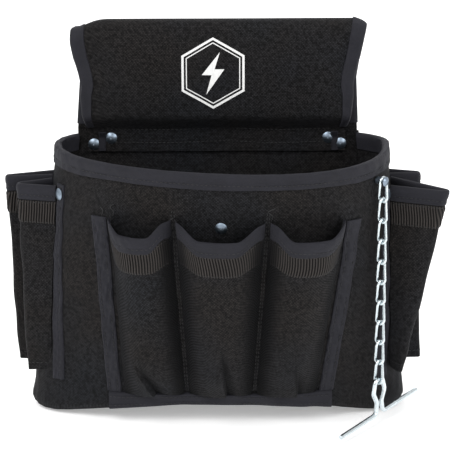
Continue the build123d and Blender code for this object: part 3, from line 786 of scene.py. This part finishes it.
# ---- sheath pockets ----
def sheath_row(name, z, count=75):
    """Plan points of a sheath's outer face at one height, from one foot round the tip to the other."""
    seams, tips, top, low, corner = SHEATHS[name]
    share = (top - z) / (top - low)
    first, last = [a + (b - a) * share for a, b in seams]
    start, end = wall(first, z, 1.0)[:2], wall(last, z, 1.0)[:2]
    real_tip = np.array([a + (b - a) * share for a, b in tips])
    middle = (start + end) / 2
    tip = real_tip
    for _ in range(3):
        arm_a, arm_b = start - tip, end - tip
        narrow = math.acos(arm_a @ arm_b / np.linalg.norm(arm_a) / np.linalg.norm(arm_b)) / 2
        drawn_in = corner * (1 / math.sin(narrow) - 1)
        tip = real_tip + (real_tip - middle) / np.linalg.norm(real_tip - middle) * drawn_in
    run_a, run_b = (start - tip) / np.linalg.norm(start - tip), (end - tip) / np.linalg.norm(end - tip)
    reach = corner / math.tan(narrow)
    centre = tip + (run_a + run_b) / np.linalg.norm(run_a + run_b) * corner / math.sin(narrow)
    touch_a, touch_b = tip + run_a * reach, tip + run_b * reach
    spoke_a, spoke_b = touch_a - centre, touch_b - centre
    sweep = math.acos(np.clip(spoke_a @ spoke_b / corner ** 2, -1, 1))
    arc = []
    for share_of_arc in np.linspace(0, 1, 17)[1:-1]:
        wa = math.sin((1 - share_of_arc) * sweep) / math.sin(sweep)
        wb = math.sin(share_of_arc * sweep) / math.sin(sweep)
        arc.append(centre + spoke_a * wa + spoke_b * wb)
    flat = (count - 15) // 2
    part_a = [start + (touch_a - start) * s for s in np.linspace(0, 1, flat)]
    part_b = [touch_b + (end - touch_b) * s for s in np.linspace(0, 1, flat)]
    return np.array(part_a + arc + part_b)


def sheath_grid(name, heights, off, count=75):
    """Points at off outside a sheath's face, bowed and rippled a little, for each height."""
    top, low = SHEATHS[name][2:4]
    seed = 70 + list(SHEATHS).index(name)
    rows = []
    for k, z in enumerate(heights):
        plan = sheath_row(name, z, count)
        along = np.gradient(plan, axis=0)
        along /= np.linalg.norm(along, axis=1, keepdims=True)
        out = np.stack([along[:, 1], -along[:, 0]], -1)
        middle = plan.mean(0)
        if np.sum((plan - middle) * out) < 0:
            out = -out
        s = np.linspace(0, 1, len(plan))
        near_foot = smooth(0, 0.10, s) * smooth(1, 0.90, s)
        depth = smooth(top - 4, top - 60, z) * smooth(low, low + 30, z)
        arc = np.concatenate([[0], np.cumsum(np.linalg.norm(np.diff(plan, axis=0), axis=1))])
        bow = (0.9 * np.sin(2 * math.pi * s) ** 2 * depth + 0.55 * ripple(arc, z, 45, seed) * near_foot
               * smooth(top - 2, top - 30, z))
        push = np.broadcast_to(np.asarray(off, float)[k] if np.ndim(off) == 2 else off, s.shape)
        rows.append(np.concatenate([plan + out * (push + bow)[:, None], np.full((len(plan), 1), z)], -1))
    return np.array(rows)


def pinched(grid, name, keep):
    """Draws a sheath's two faces together towards its sewn bottom."""
    low = SHEATHS[name][3]
    closing = smooth(low + 18, low + 2, grid[..., 2])[..., None] * (1 - keep)
    facing = grid[:, ::-1]
    ahead = (np.arange(grid.shape[1]) < grid.shape[1] / 2)[None, :, None]
    middle = np.where(ahead, grid, facing) * 0.8 + np.where(ahead, facing, grid) * 0.2
    return grid * (1 - closing) + middle * closing


def sheath(name):
    """One sheath pocket: its hollow cloth, binding, ribbed band and stitches."""
    top, low = SHEATHS[name][2:4]
    node = f"sheath_{name}"
    heights = np.concatenate([np.linspace(top - 2.0, low + 18, 64), np.linspace(low + 17, low, 16)])
    outer = pinched(sheath_grid(name, heights, 0.0), name, 0.5)
    inner = pinched(sheath_grid(name, heights, -2.0), name, 0.4)
    rows, cols = outer.shape[:2]
    size = rows * cols
    verts = np.concatenate([outer.reshape(-1, 3), inner.reshape(-1, 3)])
    uv = np.stack([lengths_along(outer, 1), lengths_along(outer, 0)], -1).reshape(-1, 2)
    faces = grid_faces(rows, cols) + grid_faces(rows, cols, size, True)
    top_ring = list(range(cols))
    left = [r * cols for r in range(rows)]
    right = [r * cols + cols - 1 for r in range(rows)]
    for a, b in zip(top_ring, top_ring[1:]):
        faces.append((a, b, b + size, a + size))
    for a, b in zip(left, left[1:]):
        faces.append((b, a, a + size, b + size))
    for a, b in zip(right, right[1:]):
        faces.append((a, b, b + size, a + size))
    last = (rows - 1) * cols
    half = cols // 2
    for s in range(half):
        m = cols - 1 - s
        for shift, turn in ((0, False), (size, True)):
            quad = (last + s + shift, last + m + shift, last + m - 1 + shift, last + s + 1 + shift)
            if m - 1 == s + 1:
                quad = quad[:3]
            faces.append(quad if turn else quad[::-1])
    faces.append((last, last + cols - 1, last + cols - 1 + size, last + size))
    make_object(f"{node}_cloth", verts, faces, np.concatenate([uv, uv]), NYLON, node)

    section = folded_section(BINDING - 1.0, -2.9, 0.9, 0.3)
    rings = np.array([sheath_grid(name, [top - drop - 0.3], off, 121)[0] for off, drop in section])
    swept(f"{node}_binding_tape", rings.transpose(1, 0, 2)[1:-1], BINDING_TAPE, f"{node}_binding")

    band_top = top - BINDING - 0.3
    heights = np.linspace(band_top, band_top - BAND - 1, 22)
    count = 301
    flat = sheath_grid(name, heights, 0.0, count)
    across = lengths_along(flat, 1)
    ribs = np.abs(np.sin(math.pi * across / RIB_PITCH)) ** 0.7
    share = np.linspace(0, 1, len(heights))[:, None]
    fade = smooth(0, 0.12, share) * smooth(1.0, 0.86, share)
    lift = 0.35 + (0.15 + 0.95 * ribs) * fade
    outer = sheath_grid(name, heights, lift, count)[:, 3:-3]
    inner = sheath_grid(name, heights, 0.05, count)[:, 3:-3]
    cloth_shell(f"{node}_band_cloth", outer, inner, RIBBED, f"{node}_band", across[:, 3:-3])

    seam = Stitches(f"{node}_stitches")
    for z, lift in ((top - (BINDING - 1) * 0.7 - 0.3, 0.75), (band_top - 1.0, 0.8), (band_top - BAND, 0.8),
                    (low + 6.0, 0.15)):
        low_row = pinched(sheath_grid(name, [z], lift, 121), name, 0.5)[0][3:-3]
        high_row = pinched(sheath_grid(name, [z], lift + 1, 121), name, 0.5)[0][3:-3]
        seam.line(low_row, high_row - low_row)
    seam.make()


def sheath_seam(name):
    """Tape over the front seam of a front sheath, with its two edges rolled."""
    (front, _), _, top, low, _ = SHEATHS[name]
    z = np.linspace(top + 3, low - 6, 120)
    first = front[0] + (front[1] - front[0]) * (top - z) / (top - low)
    inward = -np.sign(first[0])
    near, far = first + inward * 0.012, first + inward * 0.072
    strip_on_wall(f"sheath_{name}_seam", far, near, z, 1.5, 7, (0.30,))


# ---- belt tunnel ----
def tunnel_profile():
    """(y, z) of the loop's middle line: up the back, over the top, down the front and along the flange."""
    back_y, front_y, seam_y = BACK_FACE - CLOTH / 2, TUNNEL_FRONT + CLOTH / 2, BACK_FRONT - GAP - CLOTH / 2
    radius = (back_y - front_y) / 2
    crown = TUNNEL_TOP - CLOTH / 2 - radius
    middle = (back_y + front_y) / 2
    points = [(back_y, z) for z in np.linspace(TUNNEL_LOW - 3.0, crown, 26)[:-1]]
    for turn in np.linspace(0, math.pi, 22):
        points.append((middle + radius * math.cos(turn), crown + radius * math.sin(turn)))
    points += [(front_y, z) for z in np.linspace(crown, TUNNEL_LOW + 14, 28)[1:]]
    for share in np.linspace(0, 1, 16)[1:]:
        bend = (1 - math.cos(math.pi * share)) / 2
        points.append((front_y + (seam_y - front_y) * bend, TUNNEL_LOW + 14 - 16 * share))
    points += [(seam_y, z) for z in np.linspace(TUNNEL_LOW - 2, SEAM_LOW, 10)[1:]]
    return np.array(points)


PROFILE = tunnel_profile()
BACK_ROWS = 36      # rows of the profile before the middle of the fold


def tunnel_edges(row):
    """The cloth's left and right ends at a row of the profile: the front narrows towards its seam."""
    z = PROFILE[row, 1]
    left, right = np.interp(z, PINCH["z"], PINCH["left"]), np.interp(z, PINCH["z"], PINCH["right"])
    front = smooth(BACK_ROWS - 6, BACK_ROWS + 12, row)
    levels = (-63, -44, -30, -15, -6, 2, 18, 35, 48)
    front_left = np.interp(z, levels, (-107.5, -107.5, -111, -112, -111.2, -112.6, -116.6, -118.6, -119))
    front_right = np.interp(z, levels, (101.0, 101.0, 104.5, 106.0, 105.5, 106.8, 110.6, 113.2, 115.5))
    return left + (front_left - left) * front, right + (front_right - right) * front


def tunnel_grid(off, x_share):
    """Points of the loop at off from its middle line, x_share from 0 at the left end to 1 at the right."""
    along = np.gradient(PROFILE, axis=0)
    along /= np.linalg.norm(along, axis=1, keepdims=True)
    out = np.stack([along[:, 1], -along[:, 0]], -1)
    rows = []
    for k, (y, z) in enumerate(PROFILE):
        left, right = tunnel_edges(k)
        share = x_share[k] if np.ndim(x_share) == 2 else x_share
        x = left + (right - left) * share
        is_front = smooth(BACK_ROWS + 4, BACK_ROWS + 16, k) * smooth(TUNNEL_LOW + 2, TUNNEL_LOW + 22, z)
        edge = np.minimum(x - left, right - x)
        curl = 3.0 * smooth(26, 2, edge) * is_front * smooth(40, 8, z)
        puff = -0.9 * smooth(10, 60, edge) * is_front
        wave = (0.5 * ripple(x, z, 90, 81) + 0.2 * ripple(x, z, 30, 82)) * is_front * smooth(2, 20, edge)
        wave = wave + 0.5 * ripple(x, 0 * x + z, 70, 83) * smooth(BACK_ROWS - 10, BACK_ROWS, k) \
            * smooth(BACK_ROWS + 14, BACK_ROWS + 4, k) * 0.6
        push = off[k] if np.ndim(off) == 2 else off
        py = y - out[k, 0] * push + curl + puff + wave
        droop = 7.5 * smooth(34, 0, x - left) ** 2 + 4.0 * smooth(12, 0, right - x) ** 2
        pz = z - out[k, 1] * push - droop * smooth(6, 44, z)
        rows.append(np.stack([x, py + 0 * x, pz], -1))
    return np.array(rows)


def belt_tunnel():
    """The loop's cloth, its two seams and the tapes on its ends."""
    x_share = np.linspace(0, 1, 150)
    outer = tunnel_grid(-CLOTH / 2, x_share)
    inner = tunnel_grid(CLOTH / 2, x_share)
    cloth_shell("belt_tunnel_cloth", outer[:, ::-1], inner[:, ::-1], NYLON, "belt_tunnel")
    seams = Stitches("tunnel_stitches")
    share = np.linspace(0.05, 0.95, 200)
    for level in (-43.5, -56.0):
        row = int(np.argmin(np.abs(PROFILE[:, 1] - level) + 100 * (np.arange(len(PROFILE)) < BACK_ROWS)))
        points = tunnel_grid(-CLOTH / 2 - 0.1, share)[row]
        points[:, 2] += 0.5 * ripple(points[:, 0], 0 * share, 60, 84)
        seams.line(points, np.tile((0.0, -1.0, 0.25), (len(points), 1)))
    seams.make()
    for side, node in ((0, "tunnel_binding_left"), (1, "tunnel_binding_right")):
        tunnel_tape(side, node)
    tunnel_tape_end(-1, -96.0)
    tunnel_tape_end(1, 92.0)


def tunnel_tape(side, node):
    """Tape folded over one end of the loop, and on down the flange between the rivets."""
    first, last = 2, len(PROFILE) - 1
    wide = 10.5
    half = CLOTH / 2
    section = [
        (wide, -half - 0.1), (wide - 0.5, -half - 1.0), (wide * 0.62, -half - 0.75), (3.0, -half - 1.2),
        (0.4, -half - 0.9), (-0.9, -half * 0.4), (-0.9, half * 0.4), (0.4, half + 0.9),
        (3.0, half + 1.1), (wide * 0.62, half + 0.75), (wide - 0.5, half + 1.0), (wide, half + 0.1),
        (1.0, half + 0.05), (1.0, -half - 0.05),
    ]
    rings = []
    for inset, off in section:
        share = []
        for k in range(len(PROFILE)):
            left, right = tunnel_edges(k)
            narrow = 1 - 0.42 * smooth(BACK_ROWS + 20, len(PROFILE) - 18, k)
            x_in = inset * narrow if inset > 0 else inset
            share.append(x_in / (right - left) if side == 0 else 1 - x_in / (right - left))
        arc = np.arange(len(PROFILE)) * 3.0
        lively = 0.25 * ripple(arc, 5 * np.array(inset), 14, 91 + side) * (1 if off < 0 else -1)
        push = (np.full(len(PROFILE), off) - (lively if abs(off) > half else 0))[:, None]
        rings.append(tunnel_grid(push, np.array(share)[:, None])[:, 0])
    rings = np.array(rings).transpose(1, 0, 2)[first:last + 1]
    keep = rings[:, :, 2].min(1) > TUNNEL_LOW + 1.0
    keep |= np.arange(len(rings)) < BACK_ROWS
    rings = rings[:int(np.max(np.nonzero(keep)[0])) + 1]
    if side == 1:
        rings = rings[:, ::-1]
    swept(f"{node}_tape", rings, BINDING_TAPE, node)


def emblem():
    """A plain printed mark on the tunnel's front: a six-sided outline with a lightning bolt."""
    centre_x, centre_z, radius = -6.0, 4.5, 29.0
    front = tunnel_grid(-CLOTH / 2 - 0.12, np.linspace(0, 1, 150))
    rows = np.arange(len(PROFILE)) > BACK_ROWS + 12
    patch = front[rows].reshape(-1, 3)

    def lay(x, z):
        near = np.argsort((patch[:, 0] - x) ** 2 + (patch[:, 2] - z) ** 2)[:4]
        weight = 1 / (np.hypot(patch[near, 0] - x, patch[near, 2] - z) + 0.3)
        return (patch[near, 1] * weight).sum() / weight.sum() - 0.1

    verts, faces = [], []

    def flat(outline, quads):
        first = len(verts)
        for x, z in outline:
            verts.append((centre_x + x, lay(centre_x + x, centre_z + z), centre_z + z))
        faces.extend(tuple(first + i for i in quad) for quad in quads)

    def hexagon(size, parts=10):
        corners = [(size * math.sin(math.pi * k / 3), size * math.cos(math.pi * k / 3)) for k in range(7)]
        return [(a[0] + (b[0] - a[0]) * s / parts, a[1] + (b[1] - a[1]) * s / parts)
                for a, b in zip(corners, corners[1:]) for s in range(parts)]

    for outer_size, inner_size in ((radius, radius - 2.1), (radius - 4.0, radius - 4.9)):
        ring = hexagon(outer_size) + hexagon(inner_size)
        count = len(ring) // 2
        flat(ring, [(k, (k + 1) % count, count + (k + 1) % count, count + k) for k in range(count)])
    flat([(5.5, 17.0), (-9.0, -1.5), (0.2, -1.5), (1.2, 3.2)], [(0, 1, 2, 3)])
    flat([(-1.2, -1.5), (0.6, 3.2), (9.0, 3.2), (-5.5, -17.5)], [(0, 1, 3), (1, 2, 3)])
    verts_array = np.array(verts)
    size = len(verts_array)
    thick = np.concatenate([verts_array, verts_array + (0, 0.25, 0)])
    edges = {}
    for face in faces:
        for a, b in zip(face, face[1:] + face[:1]):
            edges[(a, b)] = True
    sides = [(b, a, a + size, b + size) for a, b in edges if (b, a) not in edges]
    backs = [tuple(i + size for i in face[::-1]) for face in faces]
    uv = thick[:, [0, 2]]
    make_object("tunnel_emblem_print", thick, faces + backs + sides, uv, PRINT)


def tunnel_tape_end(side, centre):
    """The tape's end, sewn flat on the flange between two rivets."""
    z = np.linspace(-46.0, -62.4, 26)[:, None]
    share = np.linspace(0, 1, 9)[None, :]
    x = centre - 3.0 + 6.0 * share + 0.6 * side * smooth(-46, -62, z)
    face = BACK_FRONT - GAP - CLOTH
    puff = 0.9 * np.sqrt(np.clip(1 - (2 * share - 1) ** 4, 0, 1)) + 0.15 * ripple(x * 2, z, 8, 97 + side)
    drawn = 3.0 * smooth(-52, -45, z)
    outer = np.stack([x, face - 0.25 - puff - drawn, z + 0 * x], -1)
    inner = np.stack([x, face - 0.05 - drawn + 0 * x, z + 0 * x], -1)
    which = "left" if side < 0 else "right"
    cloth_shell(f"tunnel_tape_end_{which}", outer, inner, BINDING_TAPE)


# ---- back panel ----
def sew_on_back(seams, x, y, z):
    """A row of stitches raised towards the wearer."""
    line = np.stack(np.broadcast_arrays(x, y, z), -1)
    seams.line(line, np.tile((0.0, 1.0, 0.0), (len(line), 1)))


def back_pad():
    """The quilted pad that lies against the wearer, its edge rolled down to the panel."""
    share = np.linspace(0, 1, 90)[:, None]
    t = np.linspace(0, 1, 100)[None, :]
    z = -70.0 - 174.0 * share + 0 * t
    left = np.interp(z, (-244, -232, -70), (-104, -114, -102))
    right = np.interp(z, (-244, -232, -70), (100, 110, 97))
    x = left + (right - left) * t
    edge = np.minimum(np.minimum(x - left, right - x), np.minimum(-70 - z, z + 244))
    rolled = np.sqrt(np.clip(1 - (1 - np.clip(edge / 3.0, 0, 1)) ** 2, 0, 1))
    channel = np.exp(-((x + 38) / 1.6) ** 2) + np.exp(-((x - 34) / 1.6) ** 2)
    soft = 0.25 * (1 + ripple(x, z, 60, 98)) * rolled
    y = BACK_FACE + 0.1 + 1.75 * rolled - soft - 1.0 * channel * rolled
    outer = np.stack([x, y, z], -1)
    inner = np.stack([x, BACK_FACE - 0.6 + 0 * x, z], -1)
    cloth_shell("back_pad_cloth", outer, inner, NYLON)
    seams = Stitches("pad_stitches")
    for at in (-38.0, 34.0):
        sew_on_back(seams, at, BACK_FACE + 0.75, np.linspace(-73, -241, 140))
    seams.make()


def back_panel():
    """The flat back, a little quilted by its seams, with its two folded edges."""
    share = np.linspace(0, 1, 80)[:, None]
    t = np.linspace(0, 1, 110)[None, :]
    z_top = TUNNEL_LOW - 3.3
    zs = (-262.0, -238.0, z_top)
    low = np.interp(-136 + 266 * t, (-136, -120, -60, 0, 60, 112, 130),
                    (-260, -263.7, -254.7, -251.7, -254.7, -263.7, -261.7))
    z = z_top + (low - z_top) * share
    left = np.interp(z, zs, (-136.0, -133.0, -116.0))
    right = np.interp(z, zs, (130.0, 129.0, 112.0))
    x = left + (right - left) * t
    wave = 0.35 * (1 + ripple(x, z, 80, 95)) * smooth(0, 10, x - left) * smooth(0, 10, right - x)
    outer = np.stack([x, BACK_FACE - 0.05 - wave, z], -1)
    inner = np.stack([x, BACK_FRONT + 0.05 + 0 * x, z], -1)
    cloth_shell("back_panel_cloth", outer, inner, NYLON, "back_panel")
    back_pad()
    seams = Stitches("back_stitches")
    edges = ((-1, "back_binding_left", -119, -133), (1, "back_binding_right", 113, 129))
    for side, node, top_x, low_x in edges:
        z = np.linspace(-62, -235, 110)[:, None]
        share = np.linspace(0, 1, 11)[None, :]
        edge = top_x + (low_x - top_x) * (-62 - z) / 173
        x = edge - side * 12 * share
        bulge = 1.1 * np.sqrt(np.clip(1 - (2 * share - 1) ** 6, 0, 1)) + 0.22 * ripple(x * 2, z, 11, 96)
        outer = np.stack([x, BACK_FACE + GAP + 0.25 + bulge, z + 0 * x], -1)
        inner = np.stack([x, BACK_FACE + 0.1 + 0 * x, z + 0 * x], -1)
        if side < 0:
            outer, inner = outer[:, ::-1], inner[:, ::-1]
        cloth_shell(f"{node}_tape", outer[:, ::-1], inner[:, ::-1], BINDING_TAPE, node)
        for s in (0.2, 0.75):
            sew_on_back(seams, edge[:, 0] - side * 12 * s, BACK_FACE + GAP + 1.2, z[:, 0])
    for z in (-51.0, -60.0):
        sew_on_back(seams, np.linspace(-112, 106, 150), BACK_FACE + 0.1, z)
    x = np.linspace(-124, 120, 150)
    sew_on_back(seams, x, BACK_FACE + 0.1, bottom_at(x) + 8.0)
    seams.make()


# ---- metal ----
def metal():
    """Zinc on the CAD's own rivets, spacer, chain and T-bar."""
    for name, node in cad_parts.items():
        if name.startswith("chain_link") or name == "tape_bar":
            material = CHAIN_ZINC
        elif "rivet" in name or name == "chain_spacer":
            material = RIVET_ZINC
        else:
            continue
        node.data.materials.clear()
        node.data.materials.append(material)


body_wall()
bottom_cloth()
rim_tape()
pocket_seams = Stitches("pocket_stitches")
for number in range(3):
    pocket_cloth(number)
panel_sides()
panel_hem()
divider_seams()
for sheath_name in SHEATHS:
    sheath(sheath_name)
    if sheath_name.endswith("front"):
        sheath_seam(sheath_name)
pocket_seams.make()
belt_tunnel()
emblem()
back_panel()
metal()


# ---- floor, light and camera ----
def studio():
    """A pale floor, an even white surround and three soft lamps."""
    floor_mesh = bpy.data.meshes.new("floor")
    reach = 6.0
    level = cad_box[0][2] - 0.002
    floor_mesh.from_pydata([(-reach, -reach, level), (reach, -reach, level), (reach, reach, level),
                            (-reach, reach, level)], [], [(0, 1, 2, 3)])
    floor = bpy.data.objects.new("floor", floor_mesh)
    bpy.context.scene.collection.objects.link(floor)
    kit = Nodes("floor_paper")
    place = kit.add("ShaderNodeTexCoord").outputs["Object"]
    grain = kit.noise(place, 40.0, 3.0)
    kit.link(kit.mix(grain, (0.90, 0.90, 0.90, 1), (0.93, 0.93, 0.93, 1)), "Base Color")
    kit.set(Roughness=0.9, Emission_Color=(1.0, 1.0, 1.0, 1.0), Emission_Strength=0.3)
    floor_mesh.materials.append(kit.material)

    world = bpy.data.worlds.new("studio")
    world.use_nodes = True
    world.node_tree.nodes["Background"].inputs[0].default_value = (1.0, 1.0, 1.0, 1)
    world.node_tree.nodes["Background"].inputs[1].default_value = 0.85
    bpy.context.scene.world = world

    for name, place, aim, size, power in (
        ("key", (-0.9, -1.3, 1.5), (0, -0.05, -0.12), 1.2, 26.0),
        ("fill", (1.3, -1.2, 0.7), (0, -0.05, -0.15), 1.0, 12.0),
        ("back", (0.0, 1.4, 1.3), (0, 0, -0.1), 1.4, 14.0),
    ):
        light = bpy.data.lights.new(name, "AREA")
        light.energy, light.size = power, size
        lamp = bpy.data.objects.new(name, light)
        lamp.location = place
        lamp.rotation_mode = "QUATERNION"
        lamp.rotation_quaternion = (Vector(aim) - Vector(place)).to_track_quat("-Z", "Y")
        bpy.context.scene.collection.objects.link(lamp)


def camera():
    """Looks down 18 degrees at the front from 1.5 m, with the slight lean of a hand-set camera."""
    lens, distance = 150.0, 1.5
    elevation, lean = math.radians(18.0), math.radians(0.25)
    aim = Vector((0.003, -0.040, -0.1125))
    back = Vector((0.0, -math.cos(elevation), math.sin(elevation)))
    data = bpy.data.cameras.new("camera")
    data.lens, data.sensor_width = lens, 36.0
    seen = bpy.data.objects.new("camera", data)
    turn = (-back).to_track_quat("-Z", "Y").to_matrix().to_4x4() @ Matrix.Rotation(-lean, 4, "Z")
    seen.matrix_world = Matrix.Translation(aim + back * distance) @ turn
    bpy.context.scene.collection.objects.link(seen)
    bpy.context.scene.camera = seen


studio()
camera()
bpy.context.scene.view_settings.view_transform = "Standard"
